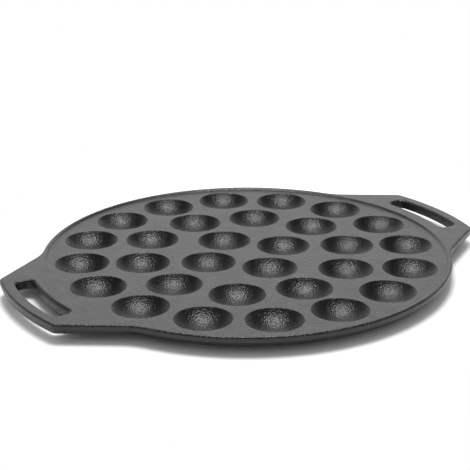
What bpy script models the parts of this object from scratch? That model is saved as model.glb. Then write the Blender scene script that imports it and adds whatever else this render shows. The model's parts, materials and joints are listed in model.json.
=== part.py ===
"""A poffertjes pan in cast iron, poured in one piece.

A round plate holds thirty bowl-shaped wells in three rings. Its raised rim runs out into two
loop handles. Under the plate each well is a dome with a small flat land, and the pan rests on
those lands.

Lengths are in metres, +Z is up. The lands lie on z = 0, the plate's middle is on the Z axis
and the handles lie along X. The floor is the flat top face between the wells, and the crest is
the top of the rim and of the handles.
"""

import math

import bpy
from mathutils import Vector

# Wells, in metres
WELL_RADIUS = 0.0200
WELL_DEPTH = 0.0095
WELL_WALL = 0.0035
WELL_LIP = 0.0010
LAND_RADIUS = 0.0050
DOME_BLEND = 0.0015
OUTER_GAP = 0.0074
MIDDLE_GAP = 0.0081
INNER_GAP = 0.0058
# Each ring of wells: how many, the iron between neighbours, the first one's angle in degrees
WELL_RINGS = (
    (16, OUTER_GAP, 0.0),
    (10, MIDDLE_GAP, 18.0),
    (4, INNER_GAP, 0.0),
)

# Plate, in metres
FLOOR_THICKNESS = 0.0040
FLOOR_MARGIN = 0.0053
STEP_RUN = 0.0024
RIM_RISE = 0.0014
RIM_WIDTH = 0.0023
RIM_DEPTH = 0.0085
SKIRT_WIDTH = 0.0055
SKIRT_DRAFT = 0.0010

# Handles, in metres and degrees
HANDLE_WEB = 0.0085
SLOT_WIDTH = 0.0134
SLOT_LENGTH = 0.0680
SLOT_CORNER = 0.0045
SLOT_ROUND = 0.0024
BAR_WIDTH = 0.0093
HANDLE_WIDTH = 0.0928
HANDLE_DEPTH = 0.0070
HANDLE_CORNER = 0.0065
HANDLE_ROOT = 0.0420
HANDLE_FLARE = 33.0

# Edge all round the casting, in metres
EDGE_ROUND = 0.0015
PARTING_DEPTH = 0.0038
PARTING_STEP = 0.0004
LOWER_DRAFT = 0.0008
LOWER_ROUND = 0.0008

# Facets
WELL_SIDES = 18
BOWL_BANDS = 4
DOME_SIDES = 14
DOME_BANDS = 2
PLATE_SIDES = 72
ARC_STEP = 4.8

# How far a cutter runs past the face that it cuts
OVERRUN = 0.0020

# Worked out from the sizes above
BOWL_RADIUS = (WELL_RADIUS**2 + WELL_DEPTH**2) / (2 * WELL_DEPTH)
BOWL_CENTRE = BOWL_RADIUS - WELL_DEPTH
DOME_RADIUS = BOWL_RADIUS + WELL_WALL
FLOOR_Z = math.sqrt(DOME_RADIUS**2 - LAND_RADIUS**2) - BOWL_CENTRE
CREST_Z = FLOOR_Z + RIM_RISE
UNDERSIDE_Z = FLOOR_Z - FLOOR_THICKNESS
SKIRT_Z = CREST_Z - RIM_DEPTH
HANDLE_Z = CREST_Z - HANDLE_DEPTH


def ring_radius(wells, gap):
    """Radius at which this many wells lie round a circle with the gap between neighbours."""
    return (WELL_RADIUS + gap / 2) / math.sin(math.pi / wells)


FLOOR_RADIUS = ring_radius(*WELL_RINGS[0][:2]) + WELL_RADIUS + FLOOR_MARGIN
PLATE_RADIUS = FLOOR_RADIUS + STEP_RUN + RIM_WIDTH
SLOT_INNER = PLATE_RADIUS + HANDLE_WEB
SLOT_OUTER = SLOT_INNER + SLOT_WIDTH
HANDLE_RADIUS = SLOT_OUTER + BAR_WIDTH


def clear_scene():
    for thing in list(bpy.data.objects):
        bpy.data.objects.remove(thing)


def new_collection(name):
    collection = bpy.data.collections.new(name)
    bpy.context.scene.collection.children.link(collection)
    return collection


def new_object(name, mesh, collection):
    thing = bpy.data.objects.new(name, mesh)
    collection.objects.link(thing)
    return thing


def hide_helper(thing):
    thing.hide_render = True
    thing.display_type = "WIRE"
    return thing


def arc(centre, radius, start, end):
    """Points along an arc from one angle to another, in radians, no further apart than ARC_STEP."""
    count = max(2, math.ceil(abs(math.degrees(end - start)) / ARC_STEP))
    return fixed_arc(centre, radius, start, end, count)


def fixed_arc(centre, radius, start, end, count):
    angles = [start + (end - start) * i / count for i in range(count + 1)]
    return [centre + radius * Vector((math.cos(a), math.sin(a))) for a in angles]


def mirrored_round(quarter):
    """The closed outline of which this is the quarter from +X to +Y."""
    half = quarter + [Vector((-p.x, p.y)) for p in reversed(quarter[:-1])]
    return half + [Vector((p.x, -p.y)) for p in reversed(half[1:-1])]


def pan_outline(inset):
    """Plan of the plate with both handles, drawn in by the inset all round."""
    flare = math.radians(HANDLE_FLARE)
    outward = Vector((math.sin(flare), math.cos(flare)))
    along = Vector((math.cos(flare), -math.sin(flare)))
    corner_y = HANDLE_WIDTH / 2
    corner = Vector((math.sqrt(HANDLE_RADIUS**2 - corner_y**2), corner_y))
    reach = outward.dot(corner)

    def on_line(offset, distance):
        """Centre at this offset from the handle's side line and this distance from the middle."""
        across = reach + offset
        return outward * across + along * math.sqrt(distance**2 - across**2)

    tip = on_line(-HANDLE_CORNER, HANDLE_RADIUS - HANDLE_CORNER)
    root = on_line(HANDLE_ROOT, PLATE_RADIUS + HANDLE_ROOT)
    middle = Vector((0, 0))
    tip_angle = math.atan2(tip.y, tip.x)
    root_angle = math.atan2(root.y, root.x)
    side_angle = math.pi / 2 - flare
    return mirrored_round(
        arc(middle, HANDLE_RADIUS - inset, 0, tip_angle)[:-1]
        + arc(tip, HANDLE_CORNER - inset, tip_angle, side_angle)
        + arc(root, HANDLE_ROOT + inset, side_angle + math.pi, root_angle + math.pi)
        + arc(middle, PLATE_RADIUS - inset, root_angle, math.pi / 2)[1:]
    )


def slot_outline(outset):
    """Plan of the right handle's slot, between two arcs round the plate's middle."""
    inner = SLOT_INNER - outset
    outer = SLOT_OUTER + outset
    end_y = SLOT_LENGTH / 2 + outset
    corner = SLOT_CORNER + outset
    corner_y = end_y - corner
    inner_corner = Vector((math.sqrt((inner + corner) ** 2 - corner_y**2), corner_y))
    outer_corner = Vector((math.sqrt((outer - corner) ** 2 - corner_y**2), corner_y))
    inner_angle = math.atan2(inner_corner.y, inner_corner.x)
    outer_angle = math.atan2(outer_corner.y, outer_corner.x)
    middle = Vector((0, 0))
    upper = (
        fixed_arc(middle, outer, 0, outer_angle, 3)[:-1]
        + fixed_arc(outer_corner, corner, outer_angle, math.pi / 2, 3)
        + fixed_arc(inner_corner, corner, math.pi / 2, inner_angle + math.pi, 3)
        + fixed_arc(middle, inner, inner_angle, 0, 3)[1:]
    )
    return upper + [Vector((p.x, -p.y)) for p in reversed(upper[1:-1])]


def stacked(name, sections):
    """Closed mesh through outlines of equal point counts, each with its height, top to bottom."""
    count = len(sections[0][0])
    points = [(p.x, p.y, z) for outline, z in sections for p in outline]
    faces = [tuple(range(count))]
    for level in range(len(sections) - 1):
        upper = level * count
        lower = upper + count
        for i in range(count):
            j = (i + 1) % count
            faces.append((upper + i, lower + i, lower + j, upper + j))
    last = (len(sections) - 1) * count
    faces.append(tuple(last + i for i in reversed(range(count))))
    mesh = bpy.data.meshes.new(name)
    mesh.from_pydata(points, [], faces)
    mesh.shade_smooth()
    return mesh


def turned(name, profile, sides):
    """Closed mesh turned round the Z axis from (radius, height) points, run top to bottom."""
    mesh = bpy.data.meshes.new(name)
    edges = [(i, i + 1) for i in range(len(profile) - 1)]
    if profile[0][0] > 0:
        edges.append((len(profile) - 1, 0))
    mesh.from_pydata([(radius, 0, z) for radius, z in profile], edges, [])
    thing = new_object(name, mesh, bpy.context.scene.collection)
    screw = thing.modifiers.new("Turn", "SCREW")
    screw.steps = sides
    screw.render_steps = sides
    screw.use_merge_vertices = True
    screw.merge_threshold = 0.00001
    evaluated = thing.evaluated_get(bpy.context.evaluated_depsgraph_get())
    solid = bpy.data.meshes.new_from_object(evaluated)
    solid.name = name
    bpy.data.objects.remove(thing)
    bpy.data.meshes.remove(mesh)
    return solid


def add_boolean(thing, label, operation, other):
    """Joins or cuts the object with one object, or with all those of a collection."""
    modifier = thing.modifiers.new(label, "BOOLEAN")
    modifier.operation = operation
    modifier.solver = "EXACT"
    if isinstance(other, bpy.types.Collection):
        modifier.operand_type = "COLLECTION"
        modifier.collection = other
    else:
        modifier.object = other


def edge_profile():
    """(inset, height) down the outer edge: a rounded crest, the parting step and a drafted foot."""
    profile = []
    for angle in (0, 45, 90):
        turn = math.radians(angle)
        inset = EDGE_ROUND * (1 - math.sin(turn))
        profile.append((inset, CREST_Z - EDGE_ROUND * (1 - math.cos(turn))))
    parting_z = CREST_Z - PARTING_DEPTH
    profile.append((0, parting_z))
    profile.append((PARTING_STEP, parting_z - PARTING_STEP))
    foot = PARTING_STEP + LOWER_DRAFT
    profile.append((foot, SKIRT_Z + LOWER_ROUND))
    profile.append((foot + LOWER_ROUND, SKIRT_Z))
    return profile


def casting_blank():
    return stacked("casting_blank", [(pan_outline(inset), z) for inset, z in edge_profile()])


def floor_cutter():
    """Sinks the floor below the crest, with a sloped step all round."""
    slope = STEP_RUN / RIM_RISE
    top_radius = FLOOR_RADIUS + STEP_RUN + slope * OVERRUN
    top_z = CREST_Z + OVERRUN
    profile = [(0, top_z), (top_radius, top_z), (FLOOR_RADIUS, FLOOR_Z), (0, FLOOR_Z)]
    return turned("floor_cutter", profile, PLATE_SIDES)


def underside_cutter():
    """Hollows the plate from below, inside a skirt whose inner face opens downwards."""
    top_radius = PLATE_RADIUS - SKIRT_WIDTH
    slope = SKIRT_DRAFT / (UNDERSIDE_Z - SKIRT_Z)
    low_z = SKIRT_Z - OVERRUN
    low_radius = top_radius + SKIRT_DRAFT + slope * OVERRUN
    profile = [(0, UNDERSIDE_Z), (top_radius, UNDERSIDE_Z), (low_radius, low_z), (0, low_z)]
    return turned("underside_cutter", profile, PLATE_SIDES)


def handle_cutter():
    """Thins both handles from below, outside the plate's skirt."""
    rise = HANDLE_Z - SKIRT_Z
    inner = PLATE_RADIUS + EDGE_ROUND / 2
    outer = HANDLE_RADIUS + OVERRUN
    low_z = SKIRT_Z - OVERRUN
    profile = [(inner + rise, HANDLE_Z), (outer, HANDLE_Z), (outer, low_z), (inner - OVERRUN / 2, low_z)]
    return turned("handle_cutter", profile, PLATE_SIDES)


def slot_cutter():
    """Cuts the right handle's slot, with its upper edge rounded and its lower edge bevelled."""
    sections = [(SLOT_ROUND, CREST_Z + OVERRUN)]
    for angle in (0, 45, 90):
        turn = math.radians(angle)
        outset = SLOT_ROUND * (1 - math.sin(turn))
        sections.append((outset, CREST_Z - SLOT_ROUND * (1 - math.cos(turn))))
    sections.append((0, HANDLE_Z + LOWER_ROUND))
    sections.append((LOWER_ROUND, HANDLE_Z))
    sections.append((LOWER_ROUND, HANDLE_Z - OVERRUN))
    return stacked("slot_cutter", [(slot_outline(outset), z) for outset, z in sections])


def well_cutter():
    """The space of one well, as a bowl under a rounded lip, with the floor at z = 0."""
    lip_reach = math.sqrt((BOWL_RADIUS + WELL_LIP) ** 2 - (BOWL_CENTRE + WELL_LIP) ** 2)
    lip_angle = math.atan2(lip_reach, BOWL_CENTRE + WELL_LIP)
    profile = [(0, OVERRUN), (lip_reach, OVERRUN), (lip_reach, 0)]
    for band in range(BOWL_BANDS + 1):
        angle = lip_angle * (1 - band / BOWL_BANDS)
        profile.append((BOWL_RADIUS * math.sin(angle), BOWL_CENTRE - BOWL_RADIUS * math.cos(angle)))
    return turned("well_cutter", profile, WELL_SIDES)


def well_dome():
    """The iron under one well, as a dome on a flat land, with the floor at z = 0."""
    top_z = -FLOOR_THICKNESS / 2
    drop = BOWL_CENTRE + FLOOR_THICKNESS + DOME_BLEND
    blend_reach = math.sqrt((DOME_RADIUS + DOME_BLEND) ** 2 - drop**2)
    start = math.atan2(blend_reach, drop)
    end = math.asin(LAND_RADIUS / DOME_RADIUS)
    profile = [(0, top_z), (blend_reach, top_z), (blend_reach, -FLOOR_THICKNESS)]
    for band in range(DOME_BANDS + 1):
        angle = start + (end - start) * band / DOME_BANDS
        profile.append((DOME_RADIUS * math.sin(angle), BOWL_CENTRE - DOME_RADIUS * math.cos(angle)))
    profile.append((0, profile[-1][1]))
    return turned("well_dome", profile, DOME_SIDES)


def place_at_wells(mesh, name, collection):
    """One object of this mesh at each well, turned to face the plate's middle."""
    for ring, (wells, gap, first) in enumerate(WELL_RINGS, 1):
        radius = ring_radius(wells, gap)
        for i in range(wells):
            angle = math.radians(first) + math.tau * i / wells
            thing = new_object(f"{name}_{ring}_{i + 1:02d}", mesh, collection)
            thing.location = (radius * math.cos(angle), radius * math.sin(angle), FLOOR_Z)
            thing.rotation_euler.z = angle
            hide_helper(thing)


def cast_iron():
    """Matt black seasoned iron, with a sand-cast skin."""
    material = bpy.data.materials.new("seasoned_cast_iron")
    material.use_nodes = True
    shader = material.node_tree.nodes["Principled BSDF"]
    shader.inputs["Base Color"].default_value = (0.06, 0.06, 0.062, 1)
    shader.inputs["Metallic"].default_value = 0.3
    shader.inputs["Roughness"].default_value = 0.6
    return material


def build_pan():
    clear_scene()
    parts = new_collection("poffertjes_pan")
    cutters = new_collection("cutters")
    domes = new_collection("domes")
    wells = new_collection("wells")

    pan = new_object("pan_casting", casting_blank(), parts)
    pan.data.materials.append(cast_iron())
    for label, mesh in (
        ("Sunk floor", floor_cutter()),
        ("Hollow underside", underside_cutter()),
        ("Thin handles", handle_cutter()),
    ):
        add_boolean(pan, label, "DIFFERENCE", hide_helper(new_object(mesh.name, mesh, cutters)))
    slot_mesh = slot_cutter()
    for label, turn in (("Right slot", 0), ("Left slot", math.pi)):
        slot = hide_helper(new_object(label.lower().replace(" ", "_"), slot_mesh, cutters))
        slot.rotation_euler.z = turn
        add_boolean(pan, label, "DIFFERENCE", slot)

    place_at_wells(well_dome(), "dome", domes)
    add_boolean(pan, "Domes", "UNION", domes)
    place_at_wells(well_cutter(), "well", wells)
    add_boolean(pan, "Wells", "DIFFERENCE", wells)

    normals = pan.modifiers.new("Even shading", "WEIGHTED_NORMAL")
    normals.keep_sharp = True


build_pan()
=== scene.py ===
"""A poffertjes pan in seasoned cast iron, lying on a white studio floor.

The frame gives the casting's outer size and the middle of each well. The casting is made again
from the same sizes, with the fine lips, fillets and rounded edges of the real pour.

Lengths are in metres and +Z is up. The lands under the domes lie on z = 0, and the handles lie
along X. The pan's floor is the flat top face between the wells, and its crest is the top of the
rim and the handles.
"""

import json
import math

import bpy
from mathutils import Matrix, Vector


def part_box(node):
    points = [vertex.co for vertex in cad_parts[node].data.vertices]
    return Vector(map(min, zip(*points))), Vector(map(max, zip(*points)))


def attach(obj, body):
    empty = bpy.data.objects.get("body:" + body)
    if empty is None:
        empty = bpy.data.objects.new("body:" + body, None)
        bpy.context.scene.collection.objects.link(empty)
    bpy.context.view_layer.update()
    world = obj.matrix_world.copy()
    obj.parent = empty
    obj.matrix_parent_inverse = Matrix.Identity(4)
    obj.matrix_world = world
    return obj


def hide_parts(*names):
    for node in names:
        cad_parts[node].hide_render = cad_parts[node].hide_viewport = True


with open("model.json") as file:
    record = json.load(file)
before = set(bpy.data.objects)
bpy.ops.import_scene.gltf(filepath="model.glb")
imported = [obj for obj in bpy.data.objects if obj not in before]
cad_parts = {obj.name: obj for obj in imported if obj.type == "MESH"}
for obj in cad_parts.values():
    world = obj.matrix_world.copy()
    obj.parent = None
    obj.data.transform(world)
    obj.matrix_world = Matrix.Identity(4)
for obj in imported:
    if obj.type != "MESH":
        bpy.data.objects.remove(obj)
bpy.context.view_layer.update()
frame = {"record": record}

# Sizes that the frame gives
HANDLE_RADIUS, PLATE_RADIUS, CREST_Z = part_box("pan_casting")[1]

# Wells
WELL_RADIUS = 0.0200
WELL_DEPTH = 0.0095
WELL_WALL = 0.0035
WELL_LIP = 0.0010
LAND_ROUND = 0.0008
DOME_BLEND = 0.0015

# Plate
FLOOR_THICKNESS = 0.0040
STEP_RUN = 0.0024
RIM_RISE = 0.0014
RIM_WIDTH = 0.0023
RIM_DEPTH = 0.0085
SKIRT_WIDTH = 0.0068
SKIRT_DRAFT = 0.0010
SKIRT_FILLET = 0.0010

# Handles
BAR_WIDTH = 0.0093
SLOT_WIDTH = 0.0134
SLOT_LENGTH = 0.0680
SLOT_CORNER = 0.0045
SLOT_ROUND = 0.0024
HANDLE_WIDTH = 0.0928
HANDLE_DEPTH = 0.0070
HANDLE_CORNER = 0.0065
HANDLE_ROOT = 0.0420
HANDLE_FLARE = math.radians(33)

# Edge all round the casting: depths are below the crest, drafts from the parting line to the foot
EDGE_ROUND = 0.0015
PARTING_DEPTH = 0.0038
PARTING_STEP = 0.0004
PLATE_DRAFT = 0.0036
HANDLE_DRAFT = 0.0004
LOWER_ROUND = 0.0008
# How far from the rim a handle reaches its own thickness, as a multiple of the step under it
HANDLE_BLEND = 4

# Fineness of the mesh
WELL_SIDES = 72
BOWL_BANDS = 14
DOME_SIDES = 48
DOME_BANDS = 7
LAND_BANDS = 3
PLATE_SIDES = 240
SLOT_SIDE_BANDS = 12
SLOT_CORNER_BANDS = 10
ROUND_BANDS = 5
FEWEST_BANDS = 3
LONGEST_EDGE = 0.0035
WIDEST_TURN = math.radians(7)

# How far a cutter runs past the face that it cuts, and a rounding past the face that it meets
OVERRUN = 0.0020
BITE = 0.00002

# Worked out from the sizes above
BOWL_RADIUS = (WELL_RADIUS**2 + WELL_DEPTH**2) / (2 * WELL_DEPTH)
BOWL_CENTRE = BOWL_RADIUS - WELL_DEPTH
DOME_RADIUS = BOWL_RADIUS + WELL_WALL
FLOOR_Z = CREST_Z - RIM_RISE
UNDERSIDE_Z = FLOOR_Z - FLOOR_THICKNESS
SKIRT_Z = CREST_Z - RIM_DEPTH
HANDLE_Z = CREST_Z - HANDLE_DEPTH
PARTING_Z = CREST_Z - PARTING_DEPTH
FLOOR_RADIUS = PLATE_RADIUS - RIM_WIDTH - STEP_RUN
SLOT_OUTER = HANDLE_RADIUS - BAR_WIDTH
SLOT_INNER = SLOT_OUTER - SLOT_WIDTH

# Skin of the iron. A noise texture's values lie between these two, apart from a few
NOISE_LOW = 0.3
NOISE_HIGH = 0.7
GRAINS_PER_METRE = 1000
GRAIN_HEIGHT = 0.0003
PATCHES_PER_METRE = 120
ROUGHNESS_LOW = 0.33
ROUGHNESS_HIGH = 0.39
# The paler band painted along the crest's edges as a highlight reaches this far down from the
# crest, and ends just short of it at both sides
HIGHLIGHT_BAND_DEPTH = 0.0006
HIGHLIGHT_BAND_REACH = 0.45 * HIGHLIGHT_BAND_DEPTH

# The photograph's view: the camera stands at this bearing from -Y towards -X, at this height over
# the pan's floor, and is then turned, tilted and rolled
VIEW_BEARING = math.radians(31.35)
VIEW_DISTANCE = 0.9544
VIEW_HEIGHT = 0.3718
VIEW_TURN = 0.00883
VIEW_TILT = 0.35800
VIEW_ROLL = -0.00395
LENS = 105.69
SENSOR = 36.0

# The paper floor turns to plain white between these two ovals, as multiples of the pan's own size
PAPER_REACH = 6
FADE_START = 1.15
FADE_END = 1.50

# The iron mirrors a white horizon, which ends in a dark room between these two angles over it
HORIZON_LOW = math.radians(14)
HORIZON_HIGH = math.radians(26)
HORIZON_LEVEL = 1.0
ROOM_LEVEL = 0.0
# Level of the even light that falls on the pan and the floor from all round
FILL_LEVEL = 0.60

# Angle over the floor, distance, width and length of each softbox, and its power in watts
SOFTBOXES = {
    "overhead_softbox": (math.radians(84), 1.2, 0.6, 0.6, 13.8),
    "high_backdrop": (math.radians(36), 1.6, 1.2, 0.5, 2.8),
    "backdrop": (math.radians(22), 1.6, 1.5, 0.8, 2.8),
}


def linear(hex_colour):
    """The linear colour of an sRGB hex value."""
    levels = [int(hex_colour[i : i + 2], 16) / 255 for i in (1, 3, 5)]
    return [c / 12.92 if c <= 0.04045 else ((c + 0.055) / 1.055) ** 2.4 for c in levels] + [1]


def add_node(tree, kind, inputs=None, **settings):
    """Adds a node with its settings, and fills its inputs with values or other nodes' outputs."""
    node = tree.nodes.new(kind)
    for name, value in settings.items():
        setattr(node, name, value)
    for name, value in (inputs or {}).items():
        if isinstance(value, bpy.types.NodeSocket):
            tree.links.new(value, node.inputs[name])
        else:
            node.inputs[name].default_value = value
    return node


def mirrored_or_bent(tree, path):
    """1 for the rays sent on by metal or glass, from the outputs of a Light Path node."""
    either = add_node(
        tree,
        "ShaderNodeMath",
        {0: path["Is Glossy Ray"], 1: path["Is Transmission Ray"]},
        operation="MAXIMUM",
    )
    return either.outputs["Value"]


def new_object(name, data):
    thing = bpy.data.objects.new(name, data)
    bpy.context.scene.collection.objects.link(thing)
    return thing


def round_points(centre, radius, start, end, bands=None):
    """Points along an arc between two angles, in this many bands or as fine as it needs."""
    turn = abs(end - start)
    if bands is None:
        by_turn = math.ceil(turn / WIDEST_TURN)
        by_length = math.ceil(turn * radius / LONGEST_EDGE)
        bands = max(FEWEST_BANDS, by_turn, by_length)
    angles = [start + (end - start) * i / bands for i in range(bands + 1)]
    return [centre + radius * Vector((math.cos(a), math.sin(a))) for a in angles]


def mirrored_round(quarter):
    """The closed outline of which this is the quarter from +X to +Y."""
    half = quarter + [Vector((-p.x, p.y)) for p in reversed(quarter[:-1])]
    return half + [Vector((p.x, -p.y)) for p in reversed(half[1:-1])]


def pan_outline():
    """Plan of the plate with both handles."""
    outward = Vector((math.sin(HANDLE_FLARE), math.cos(HANDLE_FLARE)))
    along = Vector((math.cos(HANDLE_FLARE), -math.sin(HANDLE_FLARE)))
    corner_y = HANDLE_WIDTH / 2
    reach = outward.dot(Vector((math.sqrt(HANDLE_RADIUS**2 - corner_y**2), corner_y)))

    def on_line(offset, distance):
        """Centre at this offset from the handle's side line and this distance from the middle."""
        across = reach + offset
        return outward * across + along * math.sqrt(distance**2 - across**2)

    tip = on_line(-HANDLE_CORNER, HANDLE_RADIUS - HANDLE_CORNER)
    root = on_line(HANDLE_ROOT, PLATE_RADIUS + HANDLE_ROOT)
    middle = Vector((0, 0))
    tip_angle = math.atan2(tip.y, tip.x)
    root_angle = math.atan2(root.y, root.x)
    side_angle = math.pi / 2 - HANDLE_FLARE
    return mirrored_round(
        round_points(middle, HANDLE_RADIUS, 0, tip_angle)[:-1]
        + round_points(tip, HANDLE_CORNER, tip_angle, side_angle)
        + round_points(root, HANDLE_ROOT, side_angle + math.pi, root_angle + math.pi)
        + round_points(middle, PLATE_RADIUS, root_angle, math.pi / 2)[1:]
    )


def slot_outline(outset):
    """Plan of the right handle's slot, between two arcs round the plate's middle.

    The outset is how much larger than the slot itself the plan is on every side.
    """
    inner = SLOT_INNER - outset
    outer = SLOT_OUTER + outset
    corner = SLOT_CORNER + outset
    corner_y = SLOT_LENGTH / 2 + outset - corner
    inner_corner = Vector((math.sqrt((inner + corner) ** 2 - corner_y**2), corner_y))
    outer_corner = Vector((math.sqrt((outer - corner) ** 2 - corner_y**2), corner_y))
    inner_angle = math.atan2(inner_corner.y, inner_corner.x)
    outer_angle = math.atan2(outer_corner.y, outer_corner.x)
    middle = Vector((0, 0))
    upper = (
        round_points(middle, outer, 0, outer_angle, SLOT_SIDE_BANDS)[:-1]
        + round_points(outer_corner, corner, outer_angle, math.pi / 2, SLOT_CORNER_BANDS)
        + round_points(inner_corner, corner, math.pi / 2, inner_angle + math.pi, SLOT_CORNER_BANDS)
        + round_points(middle, inner, inner_angle, 0, SLOT_SIDE_BANDS)[1:]
    )
    return upper + [Vector((p.x, -p.y)) for p in reversed(upper[1:-1])]


def lofted(name, levels):
    """Closed mesh through rings of equally many points, the highest ring first."""
    count = len(levels[0])
    faces = [tuple(range(count))]
    for level in range(len(levels) - 1):
        upper = level * count
        lower = upper + count
        for i in range(count):
            j = (i + 1) % count
            faces.append((upper + i, lower + i, lower + j, upper + j))
    last = (len(levels) - 1) * count
    faces.append(tuple(last + i for i in reversed(range(count))))
    mesh = bpy.data.meshes.new(name)
    mesh.from_pydata([p for ring in levels for p in ring], [], faces)
    mesh.shade_smooth()
    return mesh


def turned(name, profile, sides):
    """Closed mesh turned round the Z axis from (radius, height) points, run top to bottom."""
    mesh = bpy.data.meshes.new(name)
    edges = [(i, i + 1) for i in range(len(profile) - 1)]
    mesh.from_pydata([(radius, 0, z) for radius, z in profile], edges, [])
    thing = new_object(name, mesh)
    screw = thing.modifiers.new("Turn", "SCREW")
    screw.steps = sides
    screw.render_steps = sides
    screw.use_merge_vertices = True
    screw.merge_threshold = 0.000001
    return made_plain(thing)


def made_plain(thing):
    """The evaluated mesh of an object, which is then removed."""
    evaluated = thing.evaluated_get(bpy.context.evaluated_depsgraph_get())
    mesh = bpy.data.meshes.new_from_object(evaluated)
    mesh.name = thing.name
    source = thing.data
    bpy.data.objects.remove(thing)
    bpy.data.meshes.remove(source)
    return mesh


def rounded(inset, height, radius, start, end):
    """(inset, height) points along a rounded corner whose centre lies at this inset and height."""
    points = round_points(Vector((0, 0)), radius, start, end, ROUND_BANDS)
    return [(inset - p.x, height + p.y) for p in points]


def wall_inset(height):
    """How far the plate's wall below the parting line is drawn in at this height."""
    fall = (PARTING_Z - height) / (PARTING_Z - SKIRT_Z)
    return PARTING_STEP + PLATE_DRAFT * fall


def casting_blank():
    """The plate with its handles as one solid, with its rounded edge, parting line and draft.

    The handles are thinner than the plate, so the edge's foot has two forms: one on the plate's
    rim, and one that rounds the handle's lower edge and runs back under it to the plate's skirt.
    """
    crest = rounded(EDGE_ROUND, CREST_Z - EDGE_ROUND, EDGE_ROUND, math.pi / 2, 0)
    crest += [(0, PARTING_Z), (PARTING_STEP, PARTING_Z - PARTING_STEP)]

    handle_inset = PARTING_STEP + HANDLE_DRAFT
    handle_foot = rounded(
        handle_inset + LOWER_ROUND, HANDLE_Z + LOWER_ROUND, LOWER_ROUND, 0, -math.pi / 2
    )
    skirt_inset = wall_inset(SKIRT_Z)
    skirt_foot = rounded(
        skirt_inset + LOWER_ROUND, SKIRT_Z + LOWER_ROUND, LOWER_ROUND, 0, -math.pi / 2
    )
    drop = HANDLE_Z - SKIRT_Z
    meeting = (-drop, HANDLE_Z)
    wall = []
    wall_bands = len(handle_foot) + 1
    for i in range(wall_bands):
        height = HANDLE_Z + (SKIRT_Z + LOWER_ROUND - HANDLE_Z) * i / wall_bands
        wall.append((wall_inset(height), height))

    plan = pan_outline()
    count = len(plan)
    normals = []
    for i in range(count):
        run = plan[(i + 1) % count] - plan[i - 1]
        normals.append(Vector((run.y, -run.x)).normalized())

    def by_edge(inset, height):
        return [Vector((*(p - n * inset), height)) for p, n in zip(plan, normals)]

    def by_plate(inset, height):
        return [Vector((*(p.normalized() * (PLATE_RADIUS - inset)), height)) for p in plan]

    def share(point):
        """0 on the plate's rim, 1 where the handle has its full thickness."""
        reach = min(1, max(0, (point.length - PLATE_RADIUS) / (HANDLE_BLEND * drop)))
        return reach * reach * (3 - 2 * reach)

    def blended(rim_ring, handle_ring):
        return [r.lerp(h, share(p)) for r, h, p in zip(rim_ring, handle_ring, plan)]

    levels = [by_edge(*step) for step in crest]
    under_handle = [by_edge(*step) for step in handle_foot] + [by_plate(*meeting)]
    levels += [blended(by_plate(*w), h) for w, h in zip(wall, under_handle)]
    levels += [by_plate(*step) for step in skirt_foot]
    return lofted("casting_blank", levels)


def plate_ring(radius, height):
    """Points round the plate's middle, from which its wide cutters are lofted."""
    plan = round_points(Vector((0, 0)), radius, 0, math.tau, PLATE_SIDES)[:-1]
    return [(p.x, p.y, height) for p in plan]


def floor_cutter():
    """Sinks the floor below the crest, with a soft step all round."""
    edge = FLOOR_RADIUS + STEP_RUN
    levels = [plate_ring(edge, CREST_Z + OVERRUN)]
    bands = 2 * ROUND_BANDS
    for i in range(bands + 1):
        along = i / bands
        rise = (RIM_RISE + BITE) * (1 + math.cos(math.pi * along)) / 2
        levels.append(plate_ring(edge - STEP_RUN * along, FLOOR_Z + rise))
    return lofted("floor_cutter", levels)


def underside_cutter():
    """Hollows the plate from below, inside a skirt whose inner face opens downwards."""
    top_radius = PLATE_RADIUS - SKIRT_WIDTH
    slope = SKIRT_DRAFT / (UNDERSIDE_Z - SKIRT_Z)
    fillet = round_points(
        Vector((top_radius - SKIRT_FILLET, UNDERSIDE_Z - SKIRT_FILLET)),
        SKIRT_FILLET,
        math.pi / 2,
        0,
        ROUND_BANDS,
    )
    levels = [plate_ring(*p) for p in fillet]
    levels.append(plate_ring(top_radius + SKIRT_DRAFT + slope * OVERRUN, SKIRT_Z - OVERRUN))
    return lofted("underside_cutter", levels)


def slot_cutter():
    """The space of the right handle's slot, widened by the rounding of its edges."""
    upper_centre = CREST_Z + BITE - SLOT_ROUND
    lower_centre = HANDLE_Z - BITE + LOWER_ROUND
    steps = [(SLOT_ROUND, CREST_Z + OVERRUN)]
    steps += rounded(SLOT_ROUND, upper_centre, SLOT_ROUND, math.pi / 2, 0)
    steps += rounded(LOWER_ROUND, lower_centre, LOWER_ROUND, 0, -math.pi / 2)
    steps.append((LOWER_ROUND, HANDLE_Z - OVERRUN))
    levels = [[(p.x, p.y, z) for p in slot_outline(outset)] for outset, z in steps]
    return lofted("slot_cutter", levels)


def well_cutter():
    """The space of one well, as a bowl under a rounded lip, with the floor at z = 0."""
    lip_reach = math.sqrt((BOWL_RADIUS + WELL_LIP) ** 2 - (BOWL_CENTRE + WELL_LIP) ** 2)
    lip_turn = math.atan2(lip_reach, BOWL_CENTRE + WELL_LIP)
    lip = round_points(
        Vector((lip_reach, BITE - WELL_LIP)),
        WELL_LIP,
        math.pi / 2,
        math.pi / 2 + lip_turn,
        ROUND_BANDS,
    )
    profile = [(0, OVERRUN), (lip_reach, OVERRUN)] + [tuple(p) for p in lip]
    for band in range(1, BOWL_BANDS + 1):
        turn = lip_turn * (1 - band / BOWL_BANDS)
        profile.append((BOWL_RADIUS * math.sin(turn), BOWL_CENTRE - BOWL_RADIUS * math.cos(turn)))
    return turned("well_cutter", profile, WELL_SIDES)


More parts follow.
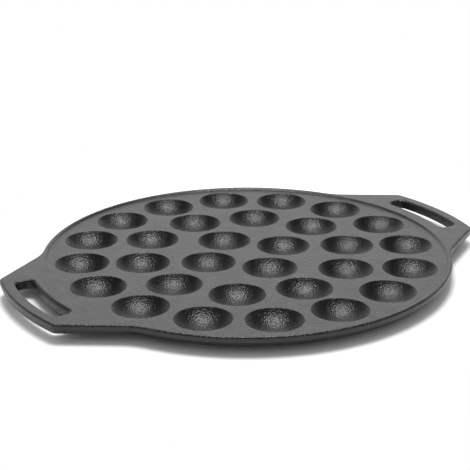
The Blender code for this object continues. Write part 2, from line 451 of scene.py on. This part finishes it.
def well_dome():
    """The iron under one well, as a dome on a flat land, with the floor at z = 0."""
    top_z = -FLOOR_THICKNESS / 2
    drop = BOWL_CENTRE + FLOOR_THICKNESS + DOME_BLEND
    blend_reach = math.sqrt((DOME_RADIUS + DOME_BLEND) ** 2 - drop**2)
    start = math.atan2(blend_reach, drop)
    blend = round_points(
        Vector((blend_reach, BITE - FLOOR_THICKNESS - DOME_BLEND)),
        DOME_BLEND,
        math.pi / 2,
        math.pi / 2 + start,
        ROUND_BANDS,
    )
    profile = [(0, top_z), (blend_reach, top_z)] + [tuple(p) for p in blend]
    round_drop = BOWL_CENTRE + FLOOR_Z - LAND_ROUND
    round_reach = math.sqrt((DOME_RADIUS - LAND_ROUND) ** 2 - round_drop**2)
    end = math.atan2(round_reach, round_drop)
    for band in range(1, DOME_BANDS + 1):
        turn = start + (end - start) * band / DOME_BANDS
        profile.append((DOME_RADIUS * math.sin(turn), BOWL_CENTRE - DOME_RADIUS * math.cos(turn)))
    land = round_points(
        Vector((round_reach, LAND_ROUND - FLOOR_Z)),
        LAND_ROUND,
        end - math.pi / 2,
        -math.pi / 2,
        LAND_BANDS,
    )
    profile += [tuple(p) for p in land[1:]] + [(0, -FLOOR_Z)]
    return turned("well_dome", profile, DOME_SIDES)


def rings_from_frame():
    """Each ring's name, number of wells, radius and first angle, from the frame's openings."""
    rings = {}
    for opening in frame["record"]["physics"]["openings"]:
        ring, kind = opening["name"].split("_")[:2]
        if kind == "well":
            low, high = opening["box_m"]
            centre = Vector(((low[0] + high[0]) / 2, (low[1] + high[1]) / 2))
            rings.setdefault(ring, []).append(centre)
    return [
        (ring.capitalize(), len(centres), centres[0].length, math.atan2(centres[0].y, centres[0].x))
        for ring, centres in rings.items()
    ]


def rings_tree(rings):
    """Geometry nodes that repeat a shape round the plate's rings of wells."""
    tree = bpy.data.node_groups.new("Rings of wells", "GeometryNodeTree")
    sockets = [("Shape", "Geometry"), ("Floor level", "Float"), ("Iron", "Material")]
    for ring, *_ in rings:
        sockets += [
            (f"{ring} wells", "Int"),
            (f"{ring} radius", "Float"),
            (f"{ring} first angle", "Float"),
        ]
    for name, kind in sockets:
        tree.interface.new_socket(name, in_out="INPUT", socket_type=f"NodeSocket{kind}")
    tree.interface.new_socket("Shapes", in_out="OUTPUT", socket_type="NodeSocketGeometry")

    given = add_node(tree, "NodeGroupInput").outputs
    joined = add_node(tree, "GeometryNodeJoinGeometry")
    for ring, *_ in rings:
        circle = add_node(
            tree,
            "GeometryNodeMeshCircle",
            {"Vertices": given[f"{ring} wells"], "Radius": given[f"{ring} radius"]},
        )
        place = add_node(tree, "ShaderNodeCombineXYZ", {"Z": given["Floor level"]})
        turn = add_node(tree, "ShaderNodeCombineXYZ", {"Z": given[f"{ring} first angle"]})
        moved = add_node(
            tree,
            "GeometryNodeTransform",
            {
                "Geometry": circle.outputs["Mesh"],
                "Translation": place.outputs["Vector"],
                "Rotation": turn.outputs["Vector"],
            },
        )
        repeated = add_node(
            tree,
            "GeometryNodeInstanceOnPoints",
            {"Points": moved.outputs["Geometry"], "Instance": given["Shape"]},
        )
        tree.links.new(repeated.outputs["Instances"], joined.inputs["Geometry"])
    real = add_node(
        tree, "GeometryNodeRealizeInstances", {"Geometry": joined.outputs["Geometry"]}
    )
    painted = add_node(
        tree,
        "GeometryNodeSetMaterial",
        {"Geometry": real.outputs["Geometry"], "Material": given["Iron"]},
    )
    add_node(tree, "NodeGroupOutput", {"Shapes": painted.outputs["Geometry"]})
    return tree


def at_wells(mesh, tree, rings, iron):
    """The shape of this mesh at every well, as one object."""
    thing = new_object(mesh.name, mesh)
    modifier = thing.modifiers.new("Rings of wells", "NODES")
    modifier.node_group = tree
    values = {"Floor level": FLOOR_Z, "Iron": iron}
    for ring, wells, radius, first in rings:
        values[f"{ring} wells"] = wells
        values[f"{ring} radius"] = radius
        values[f"{ring} first angle"] = first
    for socket in tree.interface.items_tree:
        if socket.name in values:
            modifier[socket.identifier] = values[socket.name]
    return new_object(f"{mesh.name}s", made_plain(thing))


def cast_pan(iron):
    """The whole casting as one fine mesh."""
    blank = new_object("cast_pan", casting_blank())
    blank.data.materials.append(iron)
    slot_mesh = slot_cutter()
    left_slot = new_object("left_slot", slot_mesh)
    left_slot.matrix_world = Matrix.Rotation(math.pi, 4, "Z")
    rings = rings_from_frame()
    tree = rings_tree(rings)
    steps = (
        ("DIFFERENCE", new_object("floor_cutter", floor_cutter())),
        ("DIFFERENCE", new_object("underside_cutter", underside_cutter())),
        ("DIFFERENCE", new_object("right_slot", slot_mesh)),
        ("DIFFERENCE", left_slot),
        ("UNION", at_wells(well_dome(), tree, rings, iron)),
        ("DIFFERENCE", at_wells(well_cutter(), tree, rings, iron)),
    )
    for operation, other in steps:
        boolean = blank.modifiers.new(other.name, "BOOLEAN")
        boolean.operation = operation
        boolean.solver = "EXACT"
        boolean.object = other
    normals = blank.modifiers.new("Even shading", "WEIGHTED_NORMAL")
    normals.keep_sharp = True
    fine = new_object("cast_pan", made_plain(blank))
    for _, other in steps:
        bpy.data.objects.remove(other)
    return fine


def seasoned_sand_cast_iron():
    """Grey iron poured in sand, oiled and baked: a matt black skin with a fine sandy grain."""
    material = bpy.data.materials.new("seasoned_sand_cast_iron")
    material.use_nodes = True
    tree = material.node_tree
    shader = tree.nodes["Principled BSDF"]
    shader.inputs["Metallic"].default_value = 0
    shader.inputs["IOR"].default_value = 1.5
    place = add_node(tree, "ShaderNodeTexCoord").outputs["Object"]

    # Sand grains of about 0.3 mm, drawn at 1 mm so that they show
    grain = add_node(
        tree, "ShaderNodeTexNoise", {"Vector": place, "Scale": GRAINS_PER_METRE, "Detail": 0}
    )
    tone = add_node(
        tree,
        "ShaderNodeMapRange",
        {"Value": grain.outputs["Fac"], "From Min": NOISE_LOW, "From Max": NOISE_HIGH},
    )
    colour = add_node(
        tree,
        "ShaderNodeMix",
        {
            "Factor": tone.outputs["Result"],
            "A": linear("#0d0d0d"),
            "B": linear("#141414"),
        },
        data_type="RGBA",
    )
    # Painted highlight: a band of half a millimetre along the edges of the crest is painted paler,
    # standing in for the light on their rounded edges
    height = add_node(tree, "ShaderNodeSeparateXYZ", {"Vector": place}).outputs["Z"]
    edge = add_node(
        tree,
        "ShaderNodeMath",
        {0: height, 1: CREST_Z - HIGHLIGHT_BAND_DEPTH / 2, 2: HIGHLIGHT_BAND_REACH},
        operation="COMPARE",
    )
    painted_highlight = add_node(
        tree,
        "ShaderNodeMath",
        {0: edge.outputs["Value"], 1: tone.outputs["Result"]},
        operation="MULTIPLY",
    )
    highlighted = add_node(
        tree,
        "ShaderNodeMix",
        {"Factor": painted_highlight.outputs["Value"], "A": colour.outputs["Result"], "B": linear("#2e2e2e")},
        data_type="RGBA",
    )
    tree.links.new(highlighted.outputs["Result"], shader.inputs["Base Color"])
    # Patches of thicker and thinner seasoning, 8 mm across, which shine a little differently
    patches = add_node(
        tree,
        "ShaderNodeTexNoise",
        {"Vector": place, "Scale": PATCHES_PER_METRE, "Detail": 3, "Roughness": 0.55},
    )
    sheen = add_node(
        tree,
        "ShaderNodeMapRange",
        {
            "Value": patches.outputs["Fac"],
            "From Min": NOISE_LOW,
            "From Max": NOISE_HIGH,
            "To Min": ROUGHNESS_LOW,
            "To Max": ROUGHNESS_HIGH,
        },
    )
    tree.links.new(sheen.outputs["Result"], shader.inputs["Roughness"])
    bump = add_node(
        tree,
        "ShaderNodeBump",
        {"Height": grain.outputs["Fac"], "Strength": 1.0, "Distance": GRAIN_HEIGHT},
    )
    tree.links.new(bump.outputs["Normal"], shader.inputs["Normal"])
    return material


def studio_floor():
    """A pale floor that keeps the pan's shadow and is seen as pure white farther out."""
    mesh = bpy.data.meshes.new("studio_floor")
    signs = ((-1, -1), (1, -1), (1, 1), (-1, 1))
    corners = [(PAPER_REACH * x, PAPER_REACH * y, 0) for x, y in signs]
    mesh.from_pydata(corners, [], [(0, 1, 2, 3)])
    floor = new_object("studio_floor", mesh)
    # Bleached background paper, pressed matt and rolled out under the pan
    material = bpy.data.materials.new("white_paper")
    material.use_nodes = True
    tree = material.node_tree
    paper = tree.nodes["Principled BSDF"]
    paper.inputs["Base Color"].default_value = linear("#f5f5f5")
    paper.inputs["Roughness"].default_value = 0.9
    place = add_node(tree, "ShaderNodeTexCoord").outputs["Object"]
    spread = add_node(tree, "ShaderNodeMapping", {"Vector": place})
    spread.inputs["Scale"].default_value = (1 / HANDLE_RADIUS, 1 / PLATE_RADIUS, 0)
    away = add_node(
        tree, "ShaderNodeVectorMath", {0: spread.outputs["Vector"]}, operation="LENGTH"
    )
    fade = add_node(
        tree,
        "ShaderNodeMapRange",
        {"Value": away.outputs["Value"], "From Min": FADE_START, "From Max": FADE_END},
        interpolation_type="SMOOTHSTEP",
    )
    path = add_node(tree, "ShaderNodeLightPath").outputs
    seen = add_node(
        tree,
        "ShaderNodeMath",
        {0: path["Is Camera Ray"], 1: mirrored_or_bent(tree, path)},
        operation="MAXIMUM",
    )
    share = add_node(
        tree,
        "ShaderNodeMath",
        {0: fade.outputs["Result"], 1: seen.outputs["Value"]},
        operation="MULTIPLY",
    )
    white = add_node(tree, "ShaderNodeEmission", {"Color": linear("#ffffff"), "Strength": 1})
    mixed = add_node(
        tree,
        "ShaderNodeMixShader",
        {0: share.outputs["Value"], 1: paper.outputs["BSDF"], 2: white.outputs["Emission"]},
    )
    tree.links.new(mixed.outputs["Shader"], tree.nodes["Material Output"].inputs["Surface"])
    mesh.materials.append(material)


def studio_world():
    """Even light from all round, which the iron mirrors as a white horizon under a dark room.

    The camera sees plain white.
    """
    world = bpy.data.worlds.new("studio")
    bpy.context.scene.world = world
    world.use_nodes = True
    tree = world.node_tree
    tree.nodes.clear()
    path = add_node(tree, "ShaderNodeLightPath").outputs
    direction = add_node(tree, "ShaderNodeTexCoord").outputs["Generated"]
    height = add_node(tree, "ShaderNodeSeparateXYZ", {"Vector": direction}).outputs["Z"]
    horizon = add_node(
        tree,
        "ShaderNodeMapRange",
        {
            "Value": height,
            "From Min": math.sin(HORIZON_LOW),
            "From Max": math.sin(HORIZON_HIGH),
            "To Min": HORIZON_LEVEL,
            "To Max": ROOM_LEVEL,
        },
        interpolation_type="SMOOTHSTEP",
    )
    level = add_node(
        tree,
        "ShaderNodeMix",
        {
            "Factor": mirrored_or_bent(tree, path),
            "A": FILL_LEVEL,
            "B": horizon.outputs["Result"],
        },
    )
    shown = add_node(
        tree,
        "ShaderNodeMix",
        {"Factor": path["Is Camera Ray"], "A": level.outputs["Result"], "B": 1.0},
    )
    light = add_node(
        tree,
        "ShaderNodeBackground",
        {"Color": linear("#ffffff"), "Strength": shown.outputs["Result"]},
    )
    add_node(tree, "ShaderNodeOutputWorld", {"Surface": light.outputs["Background"]})


def softbox(name, elevation, distance, width, length, power):
    """An area lamp beyond the pan, at this angle over the floor and aimed at the pan's middle."""
    data = bpy.data.lights.new(name, "AREA")
    data.shape = "RECTANGLE"
    data.size = width
    data.size_y = length
    data.energy = power
    lamp = new_object(name, data)
    lamp.visible_camera = False
    turn = Matrix.Rotation(-VIEW_BEARING, 4, "Z")
    lean = Matrix.Rotation(math.pi / 2 - elevation, 4, "X")
    lamp.matrix_world = turn @ lean.inverted() @ Matrix.Translation((0, 0, distance))


def photo_camera():
    """The photograph's own view."""
    data = bpy.data.cameras.new("camera")
    data.lens = LENS
    data.sensor_width = SENSOR
    data.clip_start = 0.01
    data.clip_end = 50
    camera = new_object("camera", data)
    standing = Vector((0, -VIEW_DISTANCE, FLOOR_Z + VIEW_HEIGHT))
    aim = (
        Matrix.Rotation(VIEW_TURN, 4, "Z")
        @ Matrix.Rotation(math.pi / 2 - VIEW_TILT, 4, "X")
        @ Matrix.Rotation(VIEW_ROLL, 4, "Z")
    )
    camera.matrix_world = (
        Matrix.Rotation(-VIEW_BEARING, 4, "Z") @ Matrix.Translation(standing) @ aim
    )
    bpy.context.scene.camera = camera


photo_camera()
studio_floor()
studio_world()
for lamp_name, measures in SOFTBOXES.items():
    softbox(lamp_name, *measures)
bpy.context.scene.view_settings.view_transform = "Standard"

pan = cast_pan(seasoned_sand_cast_iron())
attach(pan, "root")
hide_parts("pan_casting")
